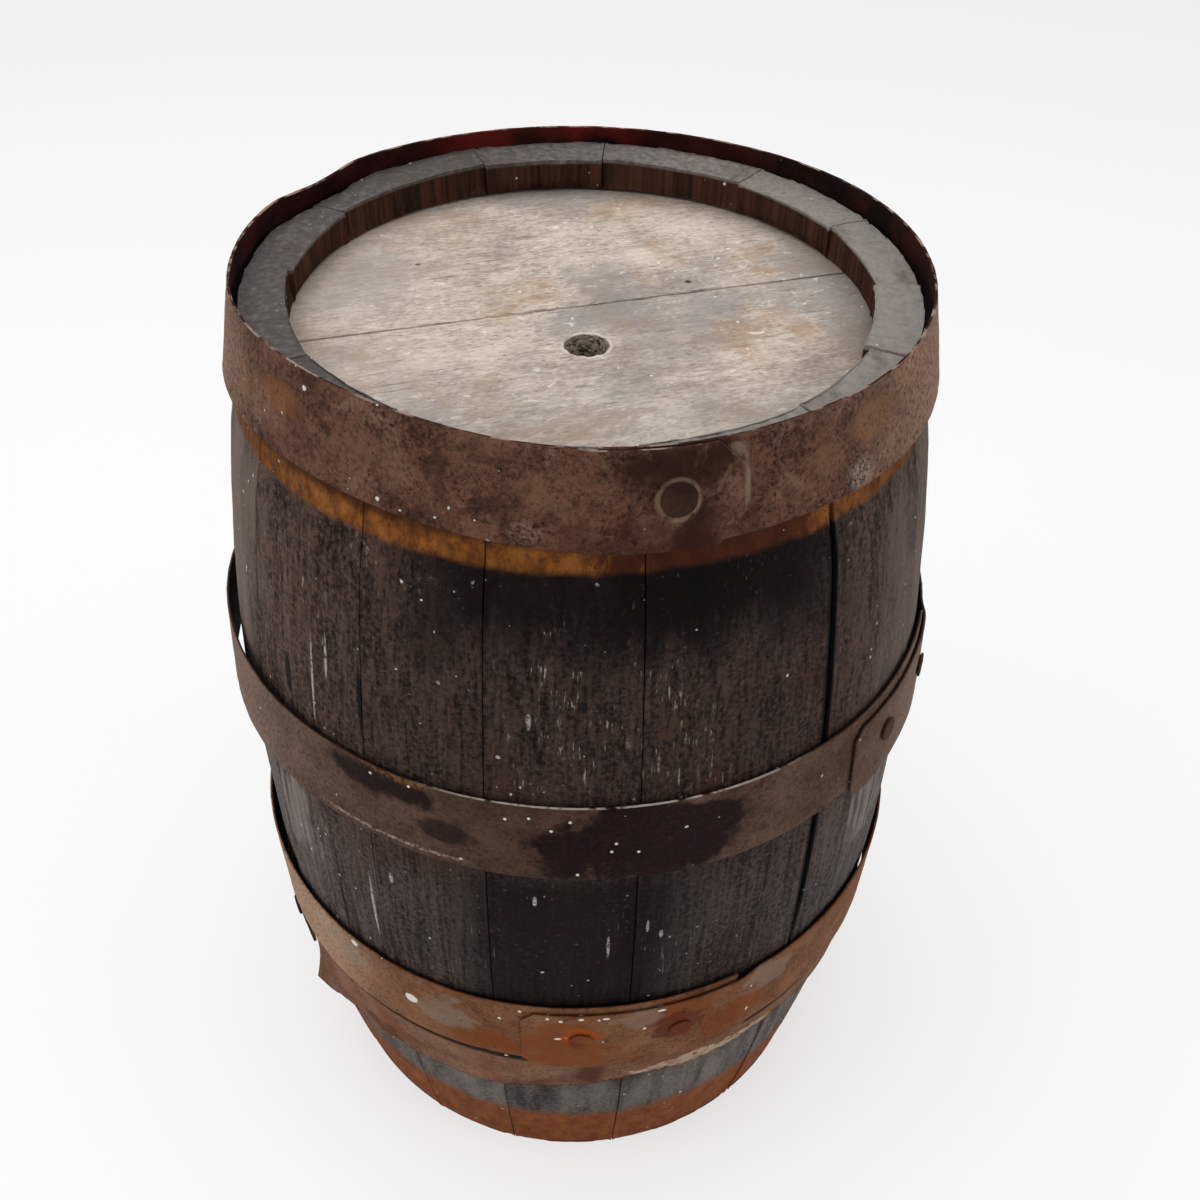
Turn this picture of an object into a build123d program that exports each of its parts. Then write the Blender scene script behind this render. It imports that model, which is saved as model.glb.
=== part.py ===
"""Small wooden cask with bent staves, two boarded heads and four riveted iron hoops.

The cask stands on its stave ends. Millimetres, +Z up, origin on the floor in the middle of the cask.
The photographed front is at -Y. The hoops are drawn where they have slipped to on the dried-out cask.
"""
import os
from math import atan2, cos, degrees, radians, sin, sqrt

from build123d import *

os.makedirs("parts", exist_ok=True)

# Staves
stave_length = 500
end_radius = 155  # outside of the staves at both ends
bulge = 27  # how far the staves swell out at mid height
belly_wall = 20  # stave thickness at mid height
chime_width = 22  # width of a stave's end face
joint_gap = 0.5  # dried joint between two staves
open_joint_gap = 3.2  # the one joint that has dried wide open
open_joint_angle = -51
stave_joint_angles = (-147, -122, -103, -81, open_joint_angle, -26, -1, 25, 53, 86, 113, 152, 179)

# Heads, and the croze groove that holds them
chime_depth = 16.5  # from the stave ends to the face of a head
croze_depth = 5
howel_relief = 1.5  # the staves' inside stands back this far behind the croze
head_thickness = 17
tongue_thickness = 9  # edge of the head that enters the croze
tongue_clearance = 0.15
head_bevel = 9
head_joint_gap = 0.7
top_joint_angle = 16.7
top_joint_offset = 7.7  # from the cask's axis to the joint of the top head
bottom_joint_angle = 70
bottom_joint_offset = -6
tap_hole_radius = 9.8
tap_hole_x = 2
tap_hole_y = -34
dowel_radius = 4
dowel_length = 48
dowel_clearance = 0.1
dowel_place_shares = (-0.55, 0, 0.55)  # along the joint, of the head's radius

# Hoops
hoop_thickness = 2
hoop_clearance = 0.35  # between a seated hoop and the staves
lap_gap = 0.25  # between the two layers of a riveted lap
climb_angle = 5  # stretch in which a strip climbs onto its own other end
rivet_radius = 3.5
rivet_clearance = 0.1
rivet_head_round_share = 0.6  # of the head's height

top_hoop_width = 41.5
top_hoop_slip = 11.5  # how far the hoop has slid up from its seat
top_hoop_lean_angle = -80  # side to which it has shifted
top_hoop_end_angle = -66
top_hoop_lap_angle = 21
top_hoop_rivet_angles = (-76.3,)
top_hoop_rivet_head_radius = 7.5
top_hoop_rivet_head_height = 1.6
top_hoop_clip_length = 13
top_hoop_clip_height = 9

upper_hoop_width = 45.5
upper_hoop_height = 296.5  # floor to lower edge
upper_hoop_end_angle = -45
upper_hoop_lap_angle = 29
upper_hoop_rivet_angles = (-36, -20)

lower_hoop_width = 51
lower_hoop_height = 140
lower_hoop_slack = 0.8  # between its upper edge and the staves
lower_hoop_end_angle = -98.5
lower_hoop_lap_angle = 36
lower_hoop_rivet_angles = (-88.8, -72.6)

bottom_hoop_width = 41
bottom_hoop_gap = 4  # from the lower bilge hoop down to the bottom hoop
bottom_hoop_end_angle = -149
bottom_hoop_lap_angle = 34
bottom_hoop_rivet_angles = (-159, -175)

bilge_rivet_head_radius = 6.5
bilge_rivet_head_height = 2
bilge_clip_length = 6
bilge_clip_height = 6

# Bites that rust has taken out of the bottom hoop's lower edge
tear_angles = (-142, -131, -117, -96, -74, -62, -40, 15, 58, 101, 140)
tear_length_shares = (0.35, 0.2, 0.55, 0.3, 3.3, 2, 3.7, 0.35, 0.6, 0.3, 0.5)  # of the strip's width
tear_depth_shares = (0.3, 0.14, 0.1, 0.16, 0.42, 0.4, 0.5, 0.25, 0.1, 0.18, 0.13)
tear_shoulder_share = 0.35  # of a bite's length and depth, where its edge turns

overrun = 20  # how far every cut runs past the piece

# The bent outline of the staves
bilge_radius = end_radius + bulge
half_length = stave_length / 2
bend_radius = (half_length**2 + bulge**2) / (2 * bulge)

# The croze, measured down from the stave ends
chime_radius = end_radius - chime_width
croze_radius = chime_radius + croze_depth
howel_radius = chime_radius + howel_relief
croze_near = chime_depth - tongue_clearance
croze_far = chime_depth + tongue_thickness + tongue_clearance
head_radius = croze_radius - tongue_clearance
tongue_root_radius = chime_radius - tongue_clearance


def stave_radius(height):
    """Outside radius of the staves at a height above the floor."""
    return bilge_radius - bend_radius + sqrt(bend_radius**2 - (height - half_length) ** 2)


def turned_frame(frame, angle):
    """The frame turned round its own axis."""
    return Plane(frame.location * Rotation(0, 0, angle))


def radial_plane(frame, angle):
    """Half plane through a frame's axis: its x runs outwards and its y along the axis."""
    turned = turned_frame(frame, angle)
    return Plane(turned.origin, x_dir=turned.x_dir, z_dir=-turned.y_dir)


def facing_plane(frame, angle, height):
    """Plane on a frame's axis that faces outwards: its x runs round the axis and its y along it."""
    turned = turned_frame(frame, angle)
    return Plane(turned.origin + turned.z_dir * height, x_dir=turned.y_dir, z_dir=turned.x_dir)


def stave_section(angle):
    """Section of a stave: bent outside, end faces, chime, croze and hollowed belly."""
    with BuildSketch(radial_plane(Plane.XY, angle)) as section:
        with BuildLine():
            ThreePointArc((end_radius, 0), (bilge_radius, half_length), (end_radius, stave_length))
            Polyline(
                (end_radius, stave_length),
                (chime_radius, stave_length),
                (chime_radius, stave_length - croze_near),
                (croze_radius, stave_length - croze_near),
                (croze_radius, stave_length - croze_far),
                (howel_radius, stave_length - croze_far),
            )
            ThreePointArc(
                (howel_radius, stave_length - croze_far),
                (bilge_radius - belly_wall, half_length),
                (howel_radius, croze_far),
            )
            Polyline(
                (howel_radius, croze_far),
                (croze_radius, croze_far),
                (croze_radius, croze_near),
                (chime_radius, croze_near),
                (chime_radius, 0),
                (end_radius, 0),
            )
        make_face()
    return section.sketch


# Staves: each is the section turned between two radial joint faces
def gap_angle(joint_angle):
    """Half of a joint's opening, as an angle at the bilge."""
    gap = open_joint_gap if joint_angle == open_joint_angle else joint_gap
    return degrees(gap / 2 / bilge_radius)


for number, joint_angle in enumerate(stave_joint_angles, start=1):
    next_angle = stave_joint_angles[number % len(stave_joint_angles)]
    start_angle = joint_angle + gap_angle(joint_angle)
    stave_span = (next_angle - joint_angle) % 360 - gap_angle(joint_angle) - gap_angle(next_angle)
    with BuildPart() as stave:
        revolve(stave_section(start_angle), axis=Axis.Z, revolution_arc=stave_span)
    stave.part.label = f"stave_{number:02d}"
    export_step(stave.part, f"parts/{stave.part.label}.step")


# Heads: a turned disc with a thin tongue round its edge, sawn from two dowelled boards
def head_section(face_height, inward):
    """Half section of a head. Its face is at face_height and its bevelled side looks inward, up or down."""
    with BuildSketch(Plane.XZ) as section:
        with BuildLine():
            Polyline(
                (0, face_height),
                (head_radius, face_height),
                (head_radius, face_height + inward * tongue_thickness),
                (tongue_root_radius, face_height + inward * tongue_thickness),
                (tongue_root_radius - head_bevel, face_height + inward * head_thickness),
                (0, face_height + inward * head_thickness),
                close=True,
            )
        make_face()
    return section.sketch


def dowel_circles(joint_plane, radius):
    """Circles on the joint between the two boards, one for each dowel."""
    with BuildSketch(joint_plane) as circles:
        with Locations(*[(share * head_radius, 0) for share in dowel_place_shares]):
            Circle(radius)
    return circles.sketch


heads = (
    ("top_head", stave_length - chime_depth, -1, top_joint_angle, top_joint_offset),
    ("bottom_head", chime_depth, 1, bottom_joint_angle, bottom_joint_offset),
)
for head_name, face_height, inward, joint_angle, joint_offset in heads:
    along = Vector(cos(radians(joint_angle)), sin(radians(joint_angle)), 0)
    across = Vector(-along.Y, along.X, 0)
    mid_height = Vector(0, 0, face_height + inward * head_thickness / 2)
    joint_plane = Plane(mid_height + across * joint_offset, x_dir=along, z_dir=across)

    for board_name, side, keep in (("rear_board", 1, Keep.TOP), ("front_board", -1, Keep.BOTTOM)):
        with BuildPart() as board:
            revolve(head_section(face_height, inward), axis=Axis.Z)
            split(bisect_by=joint_plane.offset(side * head_joint_gap / 2), keep=keep)
            dowel_holes = dowel_circles(joint_plane, dowel_radius + dowel_clearance)
            extrude(dowel_holes, amount=dowel_length / 2 + dowel_clearance, both=True, mode=Mode.SUBTRACT)
            if (head_name, board_name) == ("top_head", "front_board"):
                with BuildSketch(Plane.XY.offset(face_height)):
                    with Locations((tap_hole_x, tap_hole_y)):
                        Circle(tap_hole_radius)
                extrude(amount=head_thickness + overrun, both=True, mode=Mode.SUBTRACT)
        board.part.label = f"{head_name}_{board_name}"
        export_step(board.part, f"parts/{board.part.label}.step")

    with BuildPart() as dowels:
        extrude(dowel_circles(joint_plane, dowel_radius), amount=dowel_length / 2, both=True)
    dowels.part.label = f"{head_name}_dowels"
    export_step(dowels.part, f"parts/{dowels.part.label}.step")


# Hoops: a tapered strip that runs once round and climbs onto its own other end, riveted there
class Hoop:
    """Sizes of one strip. The frame's axis is the hoop's own, with its origin at the lower edge."""

    def __init__(self, name, frame, width, radii, end_angle, turn, lap_angle, rivet_angles):
        self.name = name
        self.frame = frame
        self.axis = Axis(frame.origin, frame.z_dir)
        self.width = width
        self.low_radius, self.high_radius = radii
        self.lean = degrees(atan2(self.low_radius - self.high_radius, width))
        self.end_angle = end_angle
        self.turn = turn  # 1 where the outer end arrives anticlockwise, -1 where clockwise
        self.lap_angle = lap_angle
        self.under_angle = end_angle - turn * lap_angle
        self.rivet_angles = rivet_angles

    def section(self, angle, lift):
        """Section of the strip at an angle, lifted off its seat."""
        low = self.low_radius + lift
        high = self.high_radius + lift
        with BuildSketch(radial_plane(self.frame, angle)) as section:
            with BuildLine():
                Polyline(
                    (low, 0),
                    (low + hoop_thickness, 0),
                    (high + hoop_thickness, self.width),
                    (high, self.width),
                    close=True,
                )
            make_face()
        return section.sketch

    def stretch(self, first_angle, last_angle, lift):
        """Strip between two angles."""
        section = self.section(min(first_angle, last_angle), lift)
        revolve(section, axis=self.axis, revolution_arc=abs(last_angle - first_angle))

    def rivet_plane(self, angle):
        """Plane on the strip's inner face at mid width, square to it."""
        turned = turned_frame(self.frame, angle)
        middle = turned.z_dir * (self.width / 2) + turned.x_dir * ((self.low_radius + self.high_radius) / 2)
        normal = turned.x_dir * cos(radians(self.lean)) + turned.z_dir * sin(radians(self.lean))
        return Plane(turned.origin + middle, x_dir=turned.y_dir, z_dir=normal)


def tight_radii(seat_height, width):
    """Inside radii of a tight hoop at its lower and upper edge."""
    slack = hoop_clearance + width**2 / (8 * bend_radius)  # the bent staves rise between the two edges
    return stave_radius(seat_height) + slack, stave_radius(seat_height + width) + slack


def corner_cut(hoop, edge, inward, length, height):
    """Corner of the outer end, clipped off at one edge of the strip."""
    with BuildSketch(facing_plane(hoop.frame, hoop.end_angle, edge)) as corner:
        with BuildLine():
            Polyline(
                (-hoop.turn * length, 0),
                (-hoop.turn * length, -inward * overrun),
                (hoop.turn * overrun, -inward * overrun),
                (hoop.turn * overrun, inward * height),
                (0, inward * height),
                close=True,
            )
        make_face()
    extrude(corner.sketch, amount=hoop.low_radius + hoop.high_radius, mode=Mode.SUBTRACT)


def tears(hoop):
    """Ragged bites along the lower edge of a corroded strip."""
    for angle, length_share, depth_share in zip(tear_angles, tear_length_shares, tear_depth_shares):
        length = length_share * hoop.width
        depth = depth_share * hoop.width
        with BuildSketch(facing_plane(hoop.frame, angle, 0)) as bite:
            with BuildLine():
                Polyline(
                    (-length / 2, -overrun),
                    (-length / 2, 0),
                    (-length / 2 + tear_shoulder_share * length, depth),
                    (length / 2 - tear_shoulder_share * length, tear_shoulder_share * depth),
                    (length / 2, 0),
                    (length / 2, -overrun),
                    close=True,
                )
            make_face()
        extrude(bite.sketch, amount=hoop.low_radius + hoop.high_radius, mode=Mode.SUBTRACT)


def make_hoop(hoop, clip_length, clip_height, torn):
    """Strip with its riveted lap and clipped outer end."""
    lift = hoop_thickness + lap_gap
    full_turn = 360 * hoop.turn
    climb_start = hoop.under_angle + full_turn - hoop.turn * climb_angle
    with BuildPart() as outer_end:
        hoop.stretch(hoop.under_angle, hoop.end_angle, lift)
        corner_cut(hoop, hoop.width, -1, clip_length, clip_height)
        corner_cut(hoop, 0, 1, clip_length, clip_height)
    with BuildPart() as strip:
        hoop.stretch(hoop.under_angle, climb_start, 0)
        loft([hoop.section(climb_start, 0), hoop.section(hoop.under_angle, lift)], ruled=True)
        add(outer_end.part)
        for angle in hoop.rivet_angles:
            with BuildSketch(hoop.rivet_plane(angle)):
                Circle(rivet_radius + rivet_clearance)
            extrude(amount=overrun, both=True, mode=Mode.SUBTRACT)
        if torn:
            tears(hoop)
    strip.part.label = hoop.name
    export_step(strip.part, f"parts/{hoop.name}.step")


def make_rivets(hoop, head_radius, head_height):
    """Rivets of one lap: shank through both layers, flush inside, with a flat rounded head outside."""
    stack = 2 * hoop_thickness + lap_gap
    with BuildPart() as rivets:
        for angle in hoop.rivet_angles:
            seat = hoop.rivet_plane(angle)
            with BuildSketch(seat.offset(rivet_clearance)):
                Circle(rivet_radius)
            extrude(amount=stack)
            with BuildSketch(seat.offset(stack + rivet_clearance)):
                Circle(head_radius)
            extrude(amount=head_height)
            outer_face = faces().sort_by(Axis(seat.origin, seat.z_dir))[-1]
            fillet(outer_face.edges(), radius=rivet_head_round_share * head_height)
    rivets.part.label = f"{hoop.name}_rivets"
    export_step(rivets.part, f"parts/{hoop.name}_rivets.step")


# Top chime hoop: slid up and leaning on the rear staves
top_hoop_seat = stave_length - top_hoop_width
top_hoop_lean = stave_radius(top_hoop_seat) - stave_radius(top_hoop_seat + top_hoop_slip)
top_hoop_x = top_hoop_lean * cos(radians(top_hoop_lean_angle))
top_hoop_y = top_hoop_lean * sin(radians(top_hoop_lean_angle))
top_hoop = Hoop(
    "top_chime_hoop",
    Plane((top_hoop_x, top_hoop_y, top_hoop_seat + top_hoop_slip)),
    top_hoop_width,
    tight_radii(top_hoop_seat, top_hoop_width),
    top_hoop_end_angle,
    1,
    top_hoop_lap_angle,
    top_hoop_rivet_angles,
)
make_hoop(top_hoop, top_hoop_clip_length, top_hoop_clip_height, torn=False)
make_rivets(top_hoop, top_hoop_rivet_head_radius, top_hoop_rivet_head_height)

# Upper bilge hoop: still driven tight
upper_hoop = Hoop(
    "upper_bilge_hoop",
    Plane((0, 0, upper_hoop_height)),
    upper_hoop_width,
    tight_radii(upper_hoop_height, upper_hoop_width),
    upper_hoop_end_angle,
    -1,
    upper_hoop_lap_angle,
    upper_hoop_rivet_angles,
)
make_hoop(upper_hoop, bilge_clip_length, bilge_clip_height, torn=False)
make_rivets(upper_hoop, bilge_rivet_head_radius, bilge_rivet_head_height)

# Bottom hoop: corroded, its lower edge eaten away most at the front right
bottom_hoop_height = lower_hoop_height - bottom_hoop_gap - bottom_hoop_width
bottom_hoop = Hoop(
    "bottom_hoop",
    Plane((0, 0, bottom_hoop_height)),
    bottom_hoop_width,
    tight_radii(bottom_hoop_height, bottom_hoop_width),
    bottom_hoop_end_angle,
    1,
    bottom_hoop_lap_angle,
    bottom_hoop_rivet_angles,
)
make_hoop(bottom_hoop, bilge_clip_length, bilge_clip_height, torn=True)
make_rivets(bottom_hoop, bilge_rivet_head_radius, bilge_rivet_head_height)

# Lower bilge hoop: loose, its lower edge standing off the staves as far as the bottom hoop reaches out
lower_hoop_low_radius = bottom_hoop.high_radius + hoop_thickness + hoop_clearance
lower_hoop_high_radius = stave_radius(lower_hoop_height + lower_hoop_width) + lower_hoop_slack
lower_hoop = Hoop(
    "lower_bilge_hoop",
    Plane((0, 0, lower_hoop_height)),
    lower_hoop_width,
    (lower_hoop_low_radius, lower_hoop_high_radius),
    lower_hoop_end_angle,
    -1,
    lower_hoop_lap_angle,
    lower_hoop_rivet_angles,
)
make_hoop(lower_hoop, bilge_clip_length, bilge_clip_height, torn=False)
make_rivets(lower_hoop, bilge_rivet_head_radius, bilge_rivet_head_height)
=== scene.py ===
"""Dressed model of a small weathered cask, built round its packed construction model."""
from math import atan2, cos, degrees, hypot, pi, radians, sin, sqrt

import bmesh
import bpy
from mathutils import Matrix, Vector, noise


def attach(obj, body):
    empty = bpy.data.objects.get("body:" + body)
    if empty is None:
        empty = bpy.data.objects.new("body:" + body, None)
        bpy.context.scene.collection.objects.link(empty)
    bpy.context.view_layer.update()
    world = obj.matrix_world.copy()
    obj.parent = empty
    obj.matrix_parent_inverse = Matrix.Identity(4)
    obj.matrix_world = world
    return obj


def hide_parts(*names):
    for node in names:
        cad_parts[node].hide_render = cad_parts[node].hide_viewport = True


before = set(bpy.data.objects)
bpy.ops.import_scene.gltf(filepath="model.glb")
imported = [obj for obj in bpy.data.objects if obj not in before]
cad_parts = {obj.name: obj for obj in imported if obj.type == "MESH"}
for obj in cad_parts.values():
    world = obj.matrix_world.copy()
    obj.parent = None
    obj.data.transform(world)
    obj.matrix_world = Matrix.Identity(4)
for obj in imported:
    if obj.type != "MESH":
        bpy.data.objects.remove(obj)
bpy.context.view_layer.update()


# Staves: thirteen oak staves of uneven width, hollowed, bent over a fire and set edge to edge.
# A croze groove near both ends holds the heads. Weather has dried and blackened the oak, the iron
# has stained it where hoops sat, and one joint at the front right has opened.
stave_length = 0.500
end_radius = 0.155
bilge_radius = 0.182
belly_radius = 0.162
chime_radius = 0.133
croze_radius = 0.138
howel_radius = 0.1345
croze_near = 0.01635
croze_far = 0.02565
stave_joints = (-147, -122, -103, -81, -51, -26, -1, 25, 53, 86, 113, 152, 179)
open_joint = -51
joint_gap = 0.0005
open_joint_gap = 0.0032
millimetre = 0.001
stave_edge_bevel = 0.0004
stave_facet = 0.0055  # spacing of the mesh across a stave
dent_angle = 149  # where the cask's rim was struck
rear_angle = 92  # middle of the side where the chime stands out furthest
rear_flare = 0.0018  # how far it stands out there, and the top hoop with it

# Each stave in turn: the step of its chime, the wear of its end and its shrinking, in mm, and its tone.
chime_steps = (1.4, 3.6, 4.6, 4.4, 2.6, -0.5, 1.0, -0.9, 0.6, -0.8, 0.8, -0.6, 0.9)
end_wear = (0.5, 0.2, 0.9, 0.3, 1.1, 0.2, 0.7, 0.4, 0.1, 0.8, 0.3, 0.6, 0.2)
stave_shrinking = (0.4, 0, 0, 0, 0, 0.9, 0.5, 0, 0, 0, 0, 1.0, 1.9)
stave_tones = (0.45, 0.2, 0.35, 0.05, 0.7, 0.6, 0.3, 0.5, 0.15, 0.4, 0.65, 0.3, 0.9)


def arc_radius(height, middle_radius, edge_radius, half_height):
    """Radius at a height of a line that is bent outwards to middle_radius halfway up the cask."""
    rise = middle_radius - edge_radius
    bend = (half_height**2 + rise**2) / (2 * rise)
    return middle_radius - bend + sqrt(bend**2 - (height - stave_length / 2) ** 2)


def stave_outside(height):
    """Outside radius of the staves at a height above the floor."""
    return arc_radius(height, bilge_radius, end_radius, stave_length / 2)


def stave_inside(height):
    """Inside radius of the staves: chime, croze groove, and the hollowed belly between the heads."""
    from_end = min(height, stave_length - height)
    if from_end < croze_near:
        return chime_radius
    if from_end < croze_far:
        return croze_radius
    return arc_radius(height, belly_radius, howel_radius, stave_length / 2 - croze_far)


def ramp(value, reach):
    """0 up to a value of 0, then rising evenly to 1 at its reach."""
    return min(1, max(0, value / reach))


def degrees_from(angle, middle):
    """How far an angle lies from another one, in degrees, the shorter way round."""
    return (angle - middle + 180) % 360 - 180


def add_modifier(piece, kind, **settings):
    """Adds a modifier to a piece, sets it up and applies it."""
    modifier = piece.modifiers.new(kind.title(), kind)
    for name, value in settings.items():
        setattr(modifier, name, value)
    bpy.context.view_layer.objects.active = piece
    bpy.ops.object.modifier_apply(modifier=modifier.name)


def wear_down(piece, grain_size, depth, where=""):
    """Wears a surface inwards, unevenly, never outwards, and only where its vertex group says so."""
    pits = bpy.data.textures.new(f"{piece.name}_wear", "CLOUDS")
    pits.noise_scale = grain_size
    pits.noise_depth = 3
    settings = {"texture": pits, "texture_coords": "LOCAL", "strength": depth, "mid_level": 1.0}
    add_modifier(piece, "DISPLACE", vertex_group=where, **settings)
    bpy.data.textures.remove(pits)


def pick_edges(piece, is_wanted):
    """Opens a piece for editing with only the wanted edges selected. The test gets both end points."""
    bpy.context.view_layer.objects.active = piece
    bpy.ops.object.mode_set(mode="EDIT")
    bpy.ops.mesh.select_mode(type="EDGE")
    bpy.ops.mesh.select_all(action="DESELECT")
    mesh = bmesh.from_edit_mesh(piece.data)
    for edge in mesh.edges:
        edge.select_set(is_wanted(edge.verts[0].co, edge.verts[1].co))
    bmesh.update_edit_mesh(piece.data)


step_gap = 0.00003  # half the height of the step at each edge of the croze
croze_rows = [croze_near - step_gap, croze_near + step_gap, 0.021, croze_far - step_gap, croze_far + step_gap]
end_rows = [0, 0.0045, 0.009, 0.013] + croze_rows + [0.032, 0.041]
belly_spacing = (stave_length - 2 * end_rows[-1]) / 30
belly_rows = [end_rows[-1] + belly_spacing * step for step in range(1, 30)]
stave_rows = end_rows + belly_rows + [stave_length - height for height in reversed(end_rows)]
wall_shares = (0, 0.12, 0.32, 0.55, 0.78, 1)


def bend_stave(name, start, span, chime_step, wear, shrinking):
    """One stave: its long section drawn upright, then turned through its width."""
    bpy.ops.object.select_all(action="DESELECT")
    wall_steps = len(wall_shares) - 1
    row_steps = len(stave_rows) - 1
    bpy.ops.mesh.primitive_grid_add(x_subdivisions=wall_steps, y_subdivisions=row_steps, size=1)
    stave = bpy.context.object
    stave.name = name
    for vertex in stave.data.vertices:
        share = wall_shares[round((vertex.co.x + 0.5) * wall_steps)]
        height = stave_rows[round((vertex.co.y + 0.5) * row_steps)]
        radius = stave_inside(height) * (1 - share) + stave_outside(height) * share
        vertex.co = (radius * cos(start), radius * sin(start), height)
    bpy.ops.object.mode_set(mode="EDIT")
    bpy.ops.mesh.select_all(action="SELECT")
    turns = max(8, round(span * bilge_radius / stave_facet))
    bpy.ops.mesh.spin(steps=turns, angle=span, center=(0, 0, 0), axis=(0, 0, -1))
    bpy.ops.mesh.select_all(action="SELECT")
    bpy.ops.mesh.normals_make_consistent(inside=False)

    def surfaces(point):
        """Which of the stave's faces a point lies on."""
        radius = hypot(point.x, point.y)
        turned = (atan2(point.y, point.x) - start) % (2 * pi)
        found = set()
        if radius > stave_outside(point.z) - 1e-5:
            found.add("outside")
        if radius < stave_inside(point.z) + 1e-5:
            found.add("inside")
        if turned < 1e-4 or turned > 2 * pi - 1e-4:
            found.add("first joint")
        if abs(turned - span) < 1e-4:
            found.add("last joint")
        if point.z < 1e-6 or point.z > stave_length - 1e-6:
            found.add("end")
        return found

    pick_edges(stave, lambda a, b: len(surfaces(a) & surfaces(b)) > 1)
    bpy.ops.mesh.bevel(offset=stave_edge_bevel, segments=2, clamp_overlap=False)
    bpy.ops.object.mode_set(mode="OBJECT")
    add_modifier(stave, "SUBSURF", subdivision_type="SIMPLE", levels=1, render_levels=1)

    # Wear: the chime steps from stave to stave and is flatter than a circle, the belly shrinks
    # behind the loose hoop, and the end is worn back under the top hoop, crushed below its dent, and
    # stands out and up at the rear.
    for vertex in stave.data.vertices:
        radius = hypot(vertex.co.x, vertex.co.y)
        angle = atan2(vertex.co.y, vertex.co.x)
        from_middle = (angle - start - span / 2 + pi) % (2 * pi) - pi
        at_rear = max(0, cos(angle - radians(rear_angle)))
        inner_share = ramp(0.150 - radius, 0.012)
        flat = chime_radius * (1 / cos(from_middle) - 1) * 0.3 - 0.0012
        chime_shift = (chime_step * millimetre + flat) * ramp(vertex.co.z - 0.4838, 0.004)
        behind_hoop = max(0, 1 - ((vertex.co.z - 0.225) / 0.085) ** 2)
        worn_back = 0.0011 - 0.0009 * cos(angle - radians(100))
        end_shift = (rear_flare * at_rear - worn_back) * ramp(vertex.co.z - 0.438, 0.02)
        crushed = max(0, 1 - (degrees_from(degrees(angle), dent_angle) / 15) ** 2) ** 1.5
        end_shift -= 0.0044 * crushed * ramp(vertex.co.z - 0.483, 0.005)
        wall_shift = end_shift - shrinking * millimetre * behind_hoop
        stretch = 1 + (chime_shift * inner_share + wall_shift * (1 - inner_share)) / radius
        vertex.co.x *= stretch
        vertex.co.y *= stretch
        ragged = noise.noise(vertex.co * 55) * 0.0006 + noise.noise(vertex.co * 190) * 0.0003
        worn_down = (wear * millimetre + 0.0006) * (1 - at_rear) - 0.001 * at_rear + ragged
        vertex.co.z -= worn_down * max(0, vertex.co.z - 0.47) / 0.03
    open_faces = stave.vertex_groups.new(name="open_faces")
    for vertex in stave.data.vertices:
        turned = (atan2(vertex.co.y, vertex.co.x) - start) % (2 * pi)
        from_joint = min(turned, abs(span - turned), 2 * pi - turned) * bilge_radius
        open_faces.add([vertex.index], min(1, max(0.04, from_joint / 0.0012 - 0.5)), "REPLACE")
    wear_down(stave, 0.03, 0.0010, "open_faces")
    wear_down(stave, 0.006, 0.0005, "open_faces")
    bpy.ops.object.shade_smooth_by_angle(angle=radians(40))
    return stave


class Paint:
    """A value, colour or vector in a material's nodes. Arithmetic with it adds Math nodes."""

    def __init__(self, tree, socket=None):
        self.tree = tree
        self.socket = socket

    def node(self, kind, settings=None, inputs=None, output=0):
        """Adds a node, sets it up, fills its sockets with values or links, and gives one output."""
        made = self.tree.nodes.new("ShaderNode" + kind)
        for name, value in (settings or {}).items():
            setattr(made, name, value)
        for key, value in (inputs or {}).items():
            if isinstance(value, Paint):
                self.tree.links.new(value.socket, made.inputs[key])
            else:
                made.inputs[key].default_value = value
        return Paint(self.tree, made.outputs[output] if made.outputs else None)

    def other(self, output):
        """Another output of the same node."""
        return Paint(self.tree, self.socket.node.outputs[output])

    def maths(self, operation, first, second=0.0):
        """Adds a Math node on one or two values."""
        return self.node("Math", {"operation": operation}, {0: first, 1: second})

    def __add__(self, value):
        return self.maths("ADD", self, value)

    def __sub__(self, value):
        return self.maths("SUBTRACT", self, value)

    def __rsub__(self, value):
        return self.maths("SUBTRACT", value, self)

    def __mul__(self, value):
        return self.maths("MULTIPLY", self, value)

    def __truediv__(self, value):
        return self.maths("DIVIDE", self, value)

    def __abs__(self):
        return self.maths("ABSOLUTE", self)

    __radd__ = __add__
    __rmul__ = __mul__


def new_finish(name):
    """An empty material, and the piece's own coordinates to paint it by."""
    material = bpy.data.materials.new(name)
    material.use_nodes = True
    material.node_tree.nodes.clear()
    return material, Paint(material.node_tree).node("TexCoord", output="Object")


def colour(red, green, blue):
    """A colour written as it shows on a screen, 0 to 255, as the shader takes it."""
    shares = [value / 255 for value in (red, green, blue)]
    return [s / 12.92 if s < 0.04045 else ((s + 0.055) / 1.055) ** 2.4 for s in shares] + [1]


def fade(value, none, full):
    """0 where a value is at none or beyond it, 1 at full, with a smooth rise between."""
    inputs = {"Value": value, "From Min": none, "From Max": full}
    return value.node("MapRange", {"interpolation_type": "SMOOTHSTEP"}, inputs)


def blend(under, over, amount):
    """One colour laid over another by an amount from 0 to 1."""
    return amount.node("Mix", {"data_type": "RGBA"}, {0: amount, 6: under, 7: over}, 2)


def either(first, second):
    """The stronger of two amounts."""
    return first.maths("MAXIMUM", first, second)


def scaled(where, x, y, z):
    """Coordinates stretched along each axis."""
    return where.node("VectorMath", {"operation": "MULTIPLY"}, {0: where, 1: (x, y, z)})


def moved(where, x, y, z):
    """Coordinates moved along each axis."""
    return where.node("VectorMath", {"operation": "ADD"}, {0: where, 1: (x, y, z)})


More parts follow.
